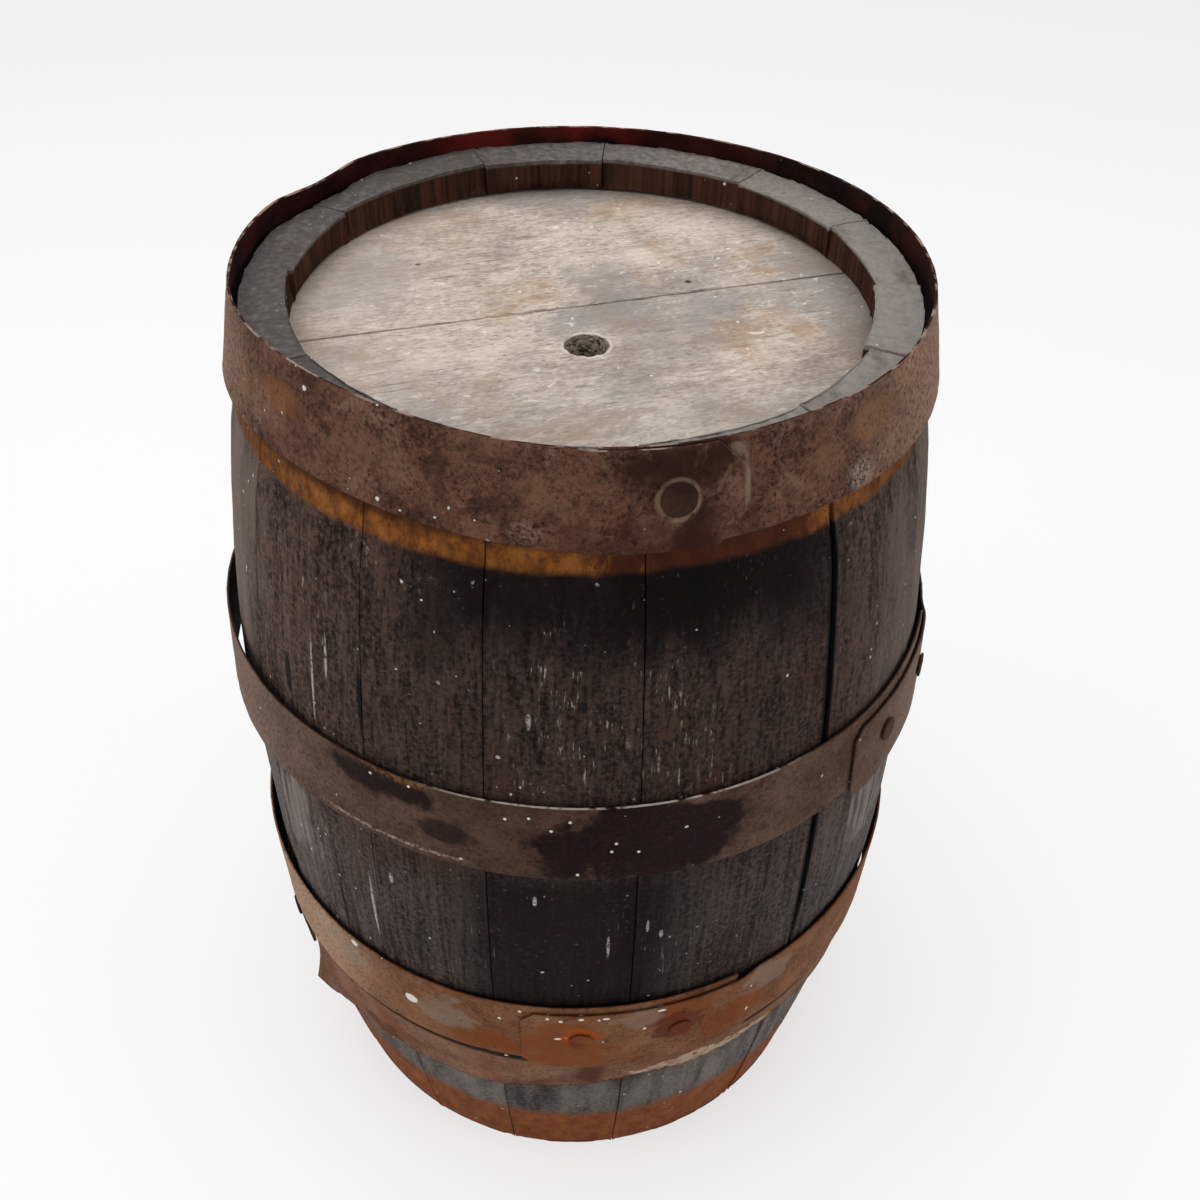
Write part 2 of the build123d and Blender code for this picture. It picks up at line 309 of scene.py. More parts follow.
def mottle(where, scale, detail=4.0, rough=0.55, twist=0.0):
    """Cloudy pattern between 0 and 1."""
    inputs = {"Vector": where, "Scale": scale, "Detail": detail, "Roughness": rough, "Distortion": twist}
    return where.node("TexNoise", None, inputs)


def spatter(where, scale, size, share):
    """Ragged drops of uneven size on a share of the places: 1 inside a drop."""
    ragged = where.node("TexNoise", None, {"Vector": where, "Scale": 420.0, "Detail": 2.0}, "Color")
    rough_edge = {0: ragged, 1: [0.0016] * 3, 2: where}
    bent = where.node("VectorMath", {"operation": "MULTIPLY_ADD"}, rough_edge)
    drops = where.node("TexVoronoi", None, {"Vector": bent, "Scale": scale})
    chance = drops.node("SeparateColor", None, {"Color": drops.other("Color")})
    reach = (chance.other("Green") * chance.other("Green") * 0.85 + 0.15) * size
    return fade(1.0 - drops / reach, 0.0, 0.3) * fade(chance, 1 - share, 1.02 - share)


def near(where, x, y, z, reach):
    """1 at a point, fading to 0 at its reach."""
    distance = where.node("VectorMath", {"operation": "DISTANCE"}, {0: where, 1: (x, y, z)}, "Value")
    return fade(distance, reach, reach * 0.35)


def axes(where):
    """The three coordinates as values: across to the right, deep to the rear, and up."""
    split = where.node("SeparateXYZ", None, {"Vector": where})
    return split, split.other("Y"), split.other("Z")


def turn_angle(where):
    """Angle round the cask's axis in degrees: 0 at the right, -90 at the front."""
    across, deep, _ = axes(where)
    return where.maths("ARCTAN2", deep, across) * (180 / pi)


def from_axis(where):
    """Distance from the cask's axis."""
    return where.node("VectorMath", {"operation": "LENGTH"}, {0: scaled(where, 1, 1, 0)}, "Value")


def patch_at(around, rise, ragged, angle, half_angle, middle, half_height):
    """1 inside an uneven patch, placed by its angle round the cask and its height, 0 outside."""
    sideways = (around - angle) / half_angle
    upward = (rise - middle) / half_height
    return fade(sideways * sideways + upward * upward + (ragged - 0.5) * 6, 1.3, 0.6)


def lay_finish(where, base, roughness, metallic, relief, depth):
    """Joins colour, roughness and relief to the surface."""
    normal = where.node("Bump", None, {"Height": relief, "Distance": depth, "Strength": 1.0})
    inputs = {"Base Color": base, "Roughness": roughness, "Metallic": metallic, "Normal": normal}
    inputs["Specular IOR Level"] = 0.05  # dusty and weathered, so hardly any gloss
    surface = where.node("BsdfPrincipled", None, inputs)
    where.node("OutputMaterial", None, {"Surface": surface})


stave_finish, spot = new_finish("weathered_stave_oak")
tone = spot.node("Attribute", {"attribute_name": "stave_tone"}, None, "Fac")
shift = spot.node("CombineXYZ", None, {"X": tone * 7.3, "Y": tone * 3.1, "Z": tone * 11.7})
own_spot = spot.node("VectorMath", {"operation": "ADD"}, {0: spot, 1: shift})
across, deep, height = axes(spot)
radius = from_axis(spot)
around = turn_angle(spot)
streak = mottle(scaled(own_spot, 70, 70, 3.5), 1, 6, 0.62)
fibre = mottle(scaled(own_spot, 420, 420, 16), 1, 4, 0.62)
hair = mottle(scaled(own_spot, 900, 900, 42), 1, 2, 0.5)
speck = mottle(spot, 420, 5, 0.75)
cloud = mottle(spot, 13, 5, 0.62)
stain = mottle(scaled(own_spot, 34, 34, 13), 1, 5, 0.62, 0.4)
ragged = mottle(scaled(spot, 34, 34, 11), 1, 7, 0.72)
# flank: 1 on the left and right sides of the cask. It greys the wood there, partly as weathering and partly
# as painted sheen of the sides seen at a glancing angle.
flank = fade(abs(across), 0.115, 0.178)

grain = streak * 0.14 + fibre * 0.3 + speck * 0.46 + stain * 0.1
wood = blend(colour(20, 14, 13), colour(98, 78, 69), fade(grain, 0.4, 0.6))
wood = blend(wood, colour(84, 58, 38), fade(stain, 0.5, 0.68) * fade(speck, 0.4, 0.6) * 0.55)
# Grey weathering, raised on the sides through flank, where part of it is painted sheen.
grey_share = fade(cloud * 0.5 + streak * 0.5 + flank * 0.3 + tone * 0.08, 0.54, 0.9)
wood = blend(wood, colour(116, 104, 96), grey_share * 0.65)
below = fade(height + (cloud - 0.5) * 0.06, 0.33, 0.24)
below_wood = blend(colour(36, 34, 35), colour(112, 105, 101), fade(grain, 0.41, 0.59))
# Below the middle the wood is greyer, more so on the sides, where part of it is painted sheen.
wood = blend(wood, below_wood, below * (0.4 + flank * 0.5))
front = fade(abs(around + 84), 76, 14)
# Painted shade: the front of the cask is darkened, as if it got less light than its sides.
wood = blend(wood, colour(14, 9, 9), front * 0.5)
wood = blend(wood, colour(52, 24, 14), fade(cloud, 0.5, 0.64) * front * 0.3)
dark_below = fade(abs(around + 90), 24, 9) * fade(height, 0.31, 0.28)
wood = blend(wood, colour(9, 6, 6), dark_below * 0.84)
black_share = fade(height + (ragged - 0.5) * 0.09, 0.395, 0.435) * fade(abs(around + 71), 27, 12)
under_band = fade(height + (ragged - 0.5) * 0.08, 0.405, 0.44) * fade(abs(around + 92), 30, 12) * 0.9
left_black = patch_at(around, height, ragged, -111, 5, 0.42, 0.02) * 0.5
black_share = either(either(black_share, under_band), left_black)
wood = blend(wood, colour(5, 4, 4), black_share * 0.95)
low_grey = fade(height + (cloud - 0.5) * 0.05, 0.13, 0.085)
foot_wood = blend(colour(48, 44, 43), colour(118, 110, 104), fade(speck * 0.4 + streak * 0.6, 0.36, 0.64))
wood = blend(wood, foot_wood, low_grey * 0.85)
scratched = fade(mottle(scaled(spot, 26, 26, 16), 1, 3), 0.54, 0.7) * 0.7
for angle, half_angle, middle, half_height in (
    (-131, 3.5, 0.4, 0.024),
    (-92, 7, 0.385, 0.045),
    (-81, 7, 0.388, 0.035),
    (-74, 4, 0.36, 0.03),
    (-97, 2, 0.36, 0.03),
):
    patch = patch_at(around, height, ragged, angle, half_angle, middle, half_height)
    scratched = either(scratched, patch)
scratched = scratched * fade(mottle(spot, 90, 4, 0.7), 0.46, 0.6)
scratch = fade(hair * 0.8 + fibre * 0.2, 0.58, 0.67) * scratched
flecks = fade(speck, 0.62, 0.72) * fade(mottle(spot, 40, 3), 0.44, 0.6)
wood = blend(wood, colour(166, 156, 146), scratch * 0.65)
wood = blend(wood, colour(128, 116, 106), flecks * 0.6)
for angle, half_angle, middle, half_height in (
    (-131.3, 0.35, 0.2105, 0.018),
    (-137.3, 0.5, 0.237, 0.006),
    (-138.4, 0.8, 0.360, 0.013),
    (-122.4, 0.5, 0.374, 0.020),
):
    crack = patch_at(around, height, fibre * 0.3 + 0.35, angle, half_angle, middle, half_height)
    wood = blend(wood, colour(10, 8, 8), crack * 0.9)
for angle, half_angle, middle, half_height in (
    (-123.7, 0.3, 0.232, 0.026),
    (-132.2, 0.25, 0.368, 0.026),
    (-129, 0.3, 0.386, 0.012),
    (-96.7, 0.35, 0.386, 0.0045),
    (-95.9, 0.35, 0.276, 0.004),
    (-119.2, 0.4, 0.264, 0.004),
    (-84.9, 0.25, 0.2415, 0.009),
    (-76.8, 0.35, 0.247, 0.003),
    (-79, 0.25, 0.2545, 0.005),
):
    line = patch_at(around, height, speck * 0.7 + 0.16, angle, half_angle, middle, half_height)
    wood = blend(wood, colour(186, 178, 170), line * fade(speck, 0.36, 0.56) * 0.75)
# Beside the open joint: dark dirt, and painted shade that makes the gap look wider than it is.
joint_dirt_and_shade = fade(abs(around - open_joint), 1.15, 0.7) * fade(height, 0.462, 0.45) * fade(height, 0.19, 0.23)
wood = blend(wood, colour(9, 7, 7), joint_dirt_and_shade * 0.92)
# Pale grey patches on the left and right sides: worn wood, partly painted sheen of the sides seen at a
# glancing angle.
worn_and_sheen_right = patch_at(around, height, ragged, -33, 8, 0.262, 0.03)
worn_and_sheen_left = patch_at(around, height, ragged, -140, 7, 0.255, 0.03)
worn_and_sheen_flank = either(worn_and_sheen_right, worn_and_sheen_left)
wood = blend(wood, colour(138, 128, 121), worn_and_sheen_flank * fade(fibre, 0.34, 0.62) * 0.6)

rust_grain = mottle(scaled(own_spot, 150, 150, 90), 1, 6, 0.7)
rust = blend(colour(88, 48, 20), colour(146, 90, 40), fade(rust_grain, 0.34, 0.68))
rust = blend(rust, colour(56, 22, 14), patch_at(around, height, ragged, -73, 17, 0.464, 0.02) * 0.88)
# Painted shadow: the rust band is darkened all round just under the top hoop's lower edge.
rust = blend(rust, colour(40, 19, 13), fade(height, 0.4635, 0.469) * 0.75)
rust = blend(rust, colour(74, 42, 22), fade(abs(around + 92), 38, 60) * 0.5)
rust = blend(rust, colour(54, 30, 19), fade(mottle(spot, 260, 4, 0.7), 0.54, 0.68) * 0.6)
edge_noise = (mottle(scaled(spot, 70, 70, 30), 1, 4) - 0.5) * 0.004
top_band = fade(height + edge_noise, 0.4542, 0.4582)
foot_band = fade(height + edge_noise * 3, 0.060, 0.047)
wood = blend(wood, rust, top_band * 0.94)
foot = blend(colour(98, 48, 18), colour(132, 74, 34), fade(rust_grain, 0.3, 0.7))
wood = blend(wood, foot, foot_band * fade(cloud, 0.1, 0.36) * 0.94)

# End grain tone: random, plus painted light that makes the ends brighter towards the right and painted shade
# that makes them darker towards the rear.
end_tone_and_light = mottle(scaled(own_spot, 260, 260, 40), 1, 5, 0.7) * 0.7 + fade(across, -0.12, 0.16) * 0.3
end_tone_and_light = end_tone_and_light - fade(deep, 0.06, 0.13) * 0.06
end_grain = blend(colour(80, 74, 72), colour(142, 135, 129), fade(end_tone_and_light, 0.25, 0.75))
end_grain = blend(end_grain, colour(78, 62, 52), fade(stain, 0.54, 0.7) * 0.5)
end_height = height - fade(deep, 0.0, 0.1) * 0.0018
wood = blend(wood, end_grain, fade(end_height, 0.4957, 0.4975))
inner_wall = blend(colour(28, 18, 14), colour(74, 47, 35), fade(streak * 0.5 + fibre * 0.5, 0.36, 0.66))
inner_share = fade(radius, 0.1392, 0.1368) * fade(end_height, 0.4975, 0.4957)
wood = blend(wood, inner_wall, inner_share)
drops = spatter(own_spot, 105, 0.16, 0.36) * fade(mottle(spot, 9, 2), 0.4, 0.6)
small_drops = spatter(moved(spot, 2, 2, 2), 230, 0.24, 0.36) * fade(ragged, 0.48, 0.58)
drops = either(drops, small_drops)
wood = blend(wood, colour(208, 204, 198), drops * 0.85)
stave_relief = streak * 0.3 + fibre * 0.4 + speck * 0.3 + drops * 0.3
stave_roughness = 0.6 + 0.25 * fibre - black_share * 0.1
lay_finish(spot, wood, stave_roughness, 0.0, stave_relief, 0.0012)

for number, joint in enumerate(stave_joints):
    next_joint = stave_joints[(number + 1) % len(stave_joints)]
    first_gap = open_joint_gap if joint == open_joint else joint_gap
    last_gap = open_joint_gap if next_joint == open_joint else joint_gap
    start = radians(joint) + first_gap / 2 / bilge_radius
    span = radians((next_joint - joint) % 360) - (first_gap + last_gap) / 2 / bilge_radius
    node_name = f"stave_{number + 1:02d}"
    wear = (chime_steps[number], end_wear[number], stave_shrinking[number])
    stave = bend_stave(f"{node_name}_bent", start, span, *wear)
    stave.data.materials.append(stave_finish)
    tones = stave.data.attributes.new("stave_tone", "FLOAT", "POINT")
    tones.data.foreach_set("value", [stave_tones[number]] * len(stave.data.vertices))
    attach(stave, "cask")
    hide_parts(node_name)


# Top head: two oak boards, dowelled edge to edge and cut round, with a thin tongue that sits in the
# croze. The face is bare and sun-bleached, the joint has shrunk open, and the front board has a round
# tap hole bored through it. The dowels are hidden in the joint.
head_radius = 0.13785
tongue_root = 0.13285
head_thickness = 0.017
tongue_thickness = 0.009
head_bevel = 0.009
head_joint_gap = 0.0007
head_facets = 128
board_edge_bevel = 0.0007
chime_depth = 0.0165
dowel_radius = 0.004
dowel_length = 0.048
dowel_clearance = 0.0001
dowel_shares = (-0.55, 0, 0.55)
top_joint_angle = radians(16.7)
top_joint_offset = 0.0077
top_joint_drift = -0.0052  # the worn joint lies nearer the front than the dowels
tap_hole_radius = 0.0098
tap_hole_place = (0.002, -0.034)
tap_hole_bevel = 0.0009


def turned_head(name, face_height, inward):
    """A round head: its half section drawn as a loop of points, then turned once round."""
    face_spacing = 0.0057
    back_spacing = 0.0112
    face = [(face_spacing * step, 0) for step in range(24)]
    rim = [(head_radius, 0), (head_radius, tongue_thickness / 2), (head_radius, tongue_thickness)]
    bevel_middle = (tongue_root - head_bevel / 2, (tongue_thickness + head_thickness) / 2)
    bevel = [(tongue_root, tongue_thickness), bevel_middle]
    back = [(tongue_root - head_bevel, head_thickness)]
    back += [(back_spacing * step, head_thickness) for step in range(10, -1, -1)]
    outline = face + rim + bevel + back
    bpy.ops.object.select_all(action="DESELECT")
    bpy.ops.mesh.primitive_circle_add(vertices=len(outline), radius=1)
    head = bpy.context.object
    head.name = name
    for vertex, (reach, depth) in zip(head.data.vertices, outline):
        vertex.co = (reach, 0, face_height + inward * depth)
    bpy.ops.object.mode_set(mode="EDIT")
    bpy.ops.mesh.select_all(action="SELECT")
    bpy.ops.mesh.spin(steps=head_facets, angle=2 * pi, center=(0, 0, 0), axis=(0, 0, 1))
    bpy.ops.mesh.select_all(action="SELECT")
    bpy.ops.mesh.remove_doubles(threshold=0.00001)
    bpy.ops.mesh.normals_make_consistent(inside=False)
    bpy.ops.object.mode_set(mode="OBJECT")
    return head


def bore(piece, start, direction, radius, depth):
    """Drills a round hole into a piece."""
    bpy.ops.object.select_all(action="DESELECT")
    bpy.ops.mesh.primitive_cylinder_add(vertices=48, radius=radius, depth=2 * depth, location=start)
    drill = bpy.context.object
    drill.rotation_euler = direction.to_track_quat("Z", "Y").to_euler()
    add_modifier(piece, "BOOLEAN", object=drill, operation="DIFFERENCE", solver="EXACT")
    bpy.data.objects.remove(drill)
    piece.select_set(True)


def saw_board(head, joint_angle, joint_offset, drift, face_height, inward, side):
    """Keeps one side of a head's joint, bores its dowel holes and wears its long edge."""
    along = Vector((cos(joint_angle), sin(joint_angle), 0))
    outward = Vector((-along.y, along.x, 0)) * side
    middle = outward * (joint_offset * side) + Vector((0, 0, face_height + inward * head_thickness / 2))
    cut = middle + outward * (head_joint_gap / 2 + drift * side)
    bpy.ops.object.mode_set(mode="EDIT")
    bpy.ops.mesh.select_all(action="SELECT")
    bpy.ops.mesh.bisect(plane_co=cut, plane_no=-outward, clear_outer=True, use_fill=True)
    bpy.ops.object.mode_set(mode="OBJECT")
    pick_edges(head, lambda a, b: max(abs((p - cut).dot(outward)) for p in (a, b)) < 1e-5)
    bpy.ops.mesh.bevel(offset=board_edge_bevel, segments=2, clamp_overlap=False)
    bpy.ops.object.mode_set(mode="OBJECT")
    for share in dowel_shares:
        hole = middle + along * share * head_radius
        bore(head, hole, outward, dowel_radius + dowel_clearance, dowel_length / 2)


def finish_board(board, node_name, material):
    """Wears a board's surface, gives it its finish and puts it on the cask."""
    wear_down(board, 0.02, 0.0006)
    bpy.ops.object.shade_smooth_by_angle(angle=radians(40))
    board.data.materials.clear()
    board.data.materials.append(material)
    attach(board, "cask")
    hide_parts(node_name)


def head_finish(name, joint_angle, knots, holes, light, dark, brown):
    """Bare oak: long grain along the joint, sun-bleached and stained, with knots, scratches and paint."""
    material, spot = new_finish(name)
    across, deep, height = axes(spot)
    turn = {"Vector": spot, "Rotation": (0, 0, -joint_angle)}
    grain_spot = spot.node("Mapping", {"vector_type": "POINT"}, turn)
    cloud = mottle(spot, 16, 7, 0.7)
    swirl = mottle(scaled(grain_spot, 20, 34, 34), 1, 6, 0.66, 0.6)
    grain = mottle(scaled(grain_spot, 70, 330, 330), 1, 6, 0.72)
    pores = mottle(scaled(grain_spot, 300, 700, 700), 1, 4, 0.7)
    brown_cloud = mottle(moved(spot, 1, 7, 0), 20, 6, 0.68, 0.4)
    grey_cloud = mottle(moved(spot, 3, 5, 0), 11, 5, 0.62)
    wood = blend(dark, light, fade(grain * 0.25 + swirl * 0.2 + pores * 0.25 + cloud * 0.3, 0.41, 0.59))
    wood = blend(wood, brown, fade(brown_cloud, 0.5, 0.66) * 0.65)
    wood = blend(wood, colour(140, 135, 133), fade(grey_cloud, 0.46, 0.62) * 0.65)
    wood = blend(wood, colour(92, 80, 70), fade(pores, 0.4, 0.28) * 0.55)
    lines = fade(mottle(scaled(grain_spot, 24, 420, 420), 1, 3), 0.62, 0.72) * fade(swirl, 0.46, 0.58)
    wood = blend(wood, colour(80, 67, 58), lines * 0.55)
    scuffs = fade(mottle(scaled(grain_spot, 150, 300, 300), 1, 3, 0.6, 0.8), 0.6, 0.69)
    scuffs = scuffs * fade(cloud, 0.42, 0.55)
    drops = spatter(spot, 120, 0.15, 0.5) * fade(mottle(moved(spot, 6, 1, 0), 14, 2), 0.42, 0.54)
    wood = blend(wood, colour(228, 221, 212), scuffs * 0.7)
    wood = blend(wood, colour(230, 227, 222), drops * 0.85)
    relief = grain * 0.5 + pores * 0.4 - lines * 0.5
    for x, y, z, reach in knots:
        knot = near(spot, x, y, z, reach)
        wood = blend(wood, colour(70, 54, 44), knot)
        relief = relief - knot
    rim_dirt = fade(from_axis(spot) + (cloud - 0.5) * 0.04, 0.112, 0.137)
    wood = blend(wood, colour(88, 74, 64), rim_dirt * 0.55)
    for x, y, radius, face in holes:
        from_hole = from_axis(moved(spot, -x, -y, 0))
        wall = fade(from_hole, radius + 0.0012, radius + 0.0008) * fade(height, face - 0.0006, face - 0.0014)
        wall_wood = blend(colour(50, 42, 36), colour(176, 160, 142), fade(pores, 0.36, 0.62))
        wood = blend(wood, wall_wood, wall)
        lip = fade(abs(from_hole - radius - 0.001), 0.0012, 0.0004)
        lip = lip * fade(height, face - 0.001, face - 0.0006)
        wood = blend(wood, colour(216, 208, 198), lip * fade(cloud, 0.36, 0.52) * 0.6)
    wood = blend(wood, colour(146, 143, 141), fade(deep + (cloud - 0.5) * 0.1, -0.03, -0.09) * 0.3)
    wood = blend(wood, colour(222, 210, 199), fade(across + (cloud - 0.5) * 0.1, -0.05, -0.1) * 0.16)
    lay_finish(spot, wood, 0.72 + pores * 0.2, 0.0, relief, 0.0007)
    return material


top_face = stave_length - chime_depth
hole_x, hole_y = tap_hole_place
top_head_finish = head_finish(
    "bleached_top_head_oak",
    top_joint_angle,
    ((-0.0805, 0.042, top_face, 0.0018), (0.0504, 0.0287, top_face, 0.0022)),
    ((hole_x, hole_y, tap_hole_radius, top_face),),
    colour(210, 196, 183),
    colour(144, 130, 119),
    colour(164, 135, 108),
)
for side, node_name in ((1, "top_head_rear_board"), (-1, "top_head_front_board")):
    board = turned_head(f"{node_name}_worn", top_face, -1)
    saw_board(board, top_joint_angle, top_joint_offset, top_joint_drift, top_face, -1, side)
    if side < 0:
        bore(board, (hole_x, hole_y, top_face), Vector((0, 0, 1)), tap_hole_radius, 2 * head_thickness)

        def on_hole_rim(a, b):
            """True for an edge of the tap hole's rim."""
            reaches = [abs(hypot(p.x - hole_x, p.y - hole_y) - tap_hole_radius) for p in (a, b)]
            return max(reaches) < 2e-5 and min(a.z, b.z) > top_face - 1e-5

        pick_edges(board, on_hole_rim)
        bpy.ops.mesh.bevel(offset=tap_hole_bevel, segments=2, clamp_overlap=False)
        bpy.ops.object.mode_set(mode="OBJECT")
    finish_board(board, node_name, top_head_finish)


# Bottom head: two more oak boards, dowelled and cut round like the top ones and held in the lower croze.
# No hole is bored in them, and the damp of the floor has darkened the wood.
bottom_joint_angle = radians(70)
bottom_joint_offset = -0.006
bottom_head_finish = head_finish(
    "damp_bottom_head_oak",
    bottom_joint_angle,
    ((0.03, 0.052, chime_depth, 0.006),),
    (),
    colour(140, 124, 108),
    colour(84, 72, 62),
    colour(104, 80, 58),
)
for side, node_name in ((1, "bottom_head_rear_board"), (-1, "bottom_head_front_board")):
    board = turned_head(f"{node_name}_worn", chime_depth, 1)
    saw_board(board, bottom_joint_angle, bottom_joint_offset, 0, chime_depth, 1, side)
    finish_board(board, node_name, bottom_head_finish)

# Dowels: plain turned oak pins across both head joints, hidden in the boards, so the construction
# model's own pins stay and only get their finish.
dowel_finish, spot = new_finish("plain_dowel_oak")
pin_grain = mottle(scaled(spot, 300, 300, 300), 1, 4, 0.6)
pin_wood = blend(colour(150, 122, 92), colour(196, 168, 134), pin_grain)
lay_finish(spot, pin_wood, 0.6 + pin_grain * 0.2, 0.0, pin_grain, 0.0003)
for node_name in ("top_head_dowels", "bottom_head_dowels"):
    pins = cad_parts[node_name]
    pins.data.materials.clear()
    pins.data.materials.append(dowel_finish)


# Top chime hoop: a strip of iron, cut with clipped corners, rolled onto its own end and closed with
# one big flat rivet. It has slid up past the stave ends, so its rim stands free and has been knocked in
# at the rear left. Brown rust covers it; its inside is darker rust, darkened further as painted shade.
hoop_thickness = 0.002
hoop_clearance = 0.00035
lap_gap = 0.00025
climb = radians(5)  # stretch in which a strip climbs onto its own other end
strip_facet = 0.0036  # spacing of the mesh along a strip
strip_edge_bevel = 0.0005
rivet_radius = 0.0035
rivet_clearance = 0.0001
rivet_drill_reach = 0.012
top_hoop_width = 0.0415
top_hoop_slip = 0.0115
top_hoop_lean_angle = radians(-80)
top_hoop_inset = 0.0015  # how far the strip is drawn in at the rivet
top_rivet_head = (0.0075, 0.0016)


def seat_radii(height, width):
    """Inside radii of the lower and upper edge of a hoop that is driven tight on the bent staves."""
    rise = bilge_radius - end_radius
    stave_bend = ((stave_length / 2) ** 2 + rise**2) / (2 * rise)
    slack = hoop_clearance + width**2 / (8 * stave_bend)
    return stave_outside(height) + slack, stave_outside(height + width) + slack


def edge_wave(angle, waves, seed):
    """Slow unevenness along a hoop's edge."""
    return noise.noise(Vector((cos(radians(angle)) * waves, sin(radians(angle)) * waves, seed)))


def roll_strip(name, form, end, turn, lap, trims, bend):
    """A hoop: a flat strip with its outer end trimmed, rolled round once and up onto its other end."""
    place, width, (low_radius, high_radius) = form
    length = (2 * pi + lap) * low_radius
    bpy.ops.object.select_all(action="DESELECT")
    bpy.ops.mesh.primitive_grid_add(x_subdivisions=round(length / strip_facet), y_subdivisions=12, size=1)
    strip = bpy.context.object
    strip.name = name
    bpy.ops.object.mode_set(mode="EDIT")
    bpy.ops.mesh.select_all(action="SELECT")
    bpy.ops.transform.resize(value=(length, width, 1))
    bpy.ops.transform.translate(value=(length / 2, width / 2, 0))
    for back, up, lean_x, lean_y in trims:
        bpy.ops.mesh.select_all(action="SELECT")
        corner = (length - back, up, 0)
        bpy.ops.mesh.bisect(plane_co=corner, plane_no=(lean_x, lean_y, 0), clear_outer=True)
    if turn < 0:
        bpy.ops.mesh.select_all(action="SELECT")
        bpy.ops.mesh.flip_normals()
    bpy.ops.object.mode_set(mode="OBJECT")
    for vertex in strip.data.vertices:
        travel = vertex.co.x / low_radius
        share = vertex.co.y / width
        angle = end + turn * (travel - lap)
        on_top = ramp(travel - 2 * pi + climb, climb)
        lift = (hoop_thickness + lap_gap) * on_top * on_top * (3 - 2 * on_top)
        outward, upward = bend(travel, degrees(angle), share)
        rise = vertex.co.y + upward
        reach = low_radius + (high_radius - low_radius) * rise / width + lift + outward
        vertex.co = place @ Vector((reach * cos(angle), reach * sin(angle), rise))
    add_modifier(strip, "SOLIDIFY", thickness=hoop_thickness, offset=1, use_even_offset=True)
    sharp = {"limit_method": "ANGLE", "angle_limit": radians(50)}
    add_modifier(strip, "BEVEL", width=strip_edge_bevel, segments=2, **sharp)
    return strip


def rivet_place(form, angle, inset):
    """Where a rivet stands: on the strip's inner face at mid width, square to it, set in with the strip."""
    place, width, (low_radius, high_radius) = form
    lean = atan2(low_radius - high_radius, width)
    reach = (low_radius + high_radius) / 2 - inset
    seat = Matrix.Rotation(radians(angle), 4, "Z") @ Matrix.Translation((reach, 0, width / 2))
    return place @ seat @ Matrix.Rotation(pi / 2 - lean, 4, "Y")


def hammer_rivet(name, seat, head_radius, head_height):
    """A rivet: a shank through both layers, its head spread flat by the hammer."""
    stack = 2 * hoop_thickness + lap_gap
    middle = (0, 0, stack / 2 + rivet_clearance)
    bpy.ops.object.select_all(action="DESELECT")
    bpy.ops.mesh.primitive_cylinder_add(vertices=40, radius=rivet_radius, depth=stack, location=middle)
    rivet = bpy.context.object
    rivet.name = name
    bpy.ops.object.transform_apply(location=True)
    bpy.ops.object.mode_set(mode="EDIT")
    bpy.ops.mesh.select_mode(type="FACE")
    bpy.ops.mesh.select_all(action="DESELECT")
    mesh = bmesh.from_edit_mesh(rivet.data)
    for face in mesh.faces:
        face.select_set(face.normal.z > 0.9)
    bmesh.update_edit_mesh(rivet.data)
    spread = head_radius / rivet_radius
    bpy.ops.mesh.extrude_region_move(TRANSFORM_OT_translate={"value": (0, 0, 0)})
    bpy.ops.transform.resize(value=(spread, spread, 1))
    bpy.ops.mesh.extrude_region_move(TRANSFORM_OT_translate={"value": (0, 0, head_height * 0.62)})
    bpy.ops.mesh.extrude_region_move(TRANSFORM_OT_translate={"value": (0, 0, head_height * 0.3)})
    bpy.ops.transform.resize(value=(0.91, 0.91, 1))
    bpy.ops.mesh.inset(thickness=head_radius * 0.2)
    bpy.ops.transform.translate(value=(0, 0, head_height * 0.06))
    bpy.ops.mesh.inset(thickness=head_radius * 0.3)
    bpy.ops.transform.translate(value=(0, 0, head_height * 0.02))
    bpy.ops.object.mode_set(mode="OBJECT")
    rivet.data.transform(seat)
    return rivet


def fit_rivets(hoop, form, angles, head_size, body, material, inset=0):
    """Bores a hoop's lap, sets its rivets in it and puts the rivets on the hoop's body."""
    rivets = []
    for angle in angles:
        seat = rivet_place(form, angle, inset)
        outward = seat.to_3x3() @ Vector((0, 0, 1))
        bore(hoop, seat.translation, outward, rivet_radius + rivet_clearance, rivet_drill_reach)
        rivets.append(hammer_rivet(f"{body}_rivets_worn", seat, *head_size))
    bpy.ops.object.select_all(action="DESELECT")
    for rivet in rivets:
        rivet.select_set(True)
    bpy.context.view_layer.objects.active = rivets[0]
    if len(rivets) > 1:
        bpy.ops.object.join()
    rivet = bpy.context.view_layer.objects.active
    add_modifier(rivet, "SUBSURF", levels=1, render_levels=1)
    wear_down(rivet, 0.004, 0.0004)
    bpy.ops.object.shade_smooth_by_angle(angle=radians(50))
    rivet.data.materials.clear()
    rivet.data.materials.append(material)
    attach(rivet, body)
    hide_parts(f"{body}_rivets")


def finish_hoop(hoop, body, material):
    """Pits a hoop's surface, gives it its finish and puts it on its body."""
    bpy.ops.object.select_all(action="DESELECT")
    hoop.select_set(True)
    bpy.context.view_layer.objects.active = hoop
    wear_down(hoop, 0.012, 0.0004)
    wear_down(hoop, 0.003, 0.0003)
    bpy.ops.object.shade_smooth_by_angle(angle=radians(40))
    hoop.data.materials.clear()
    hoop.data.materials.append(material)
    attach(hoop, body)
    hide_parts(body)


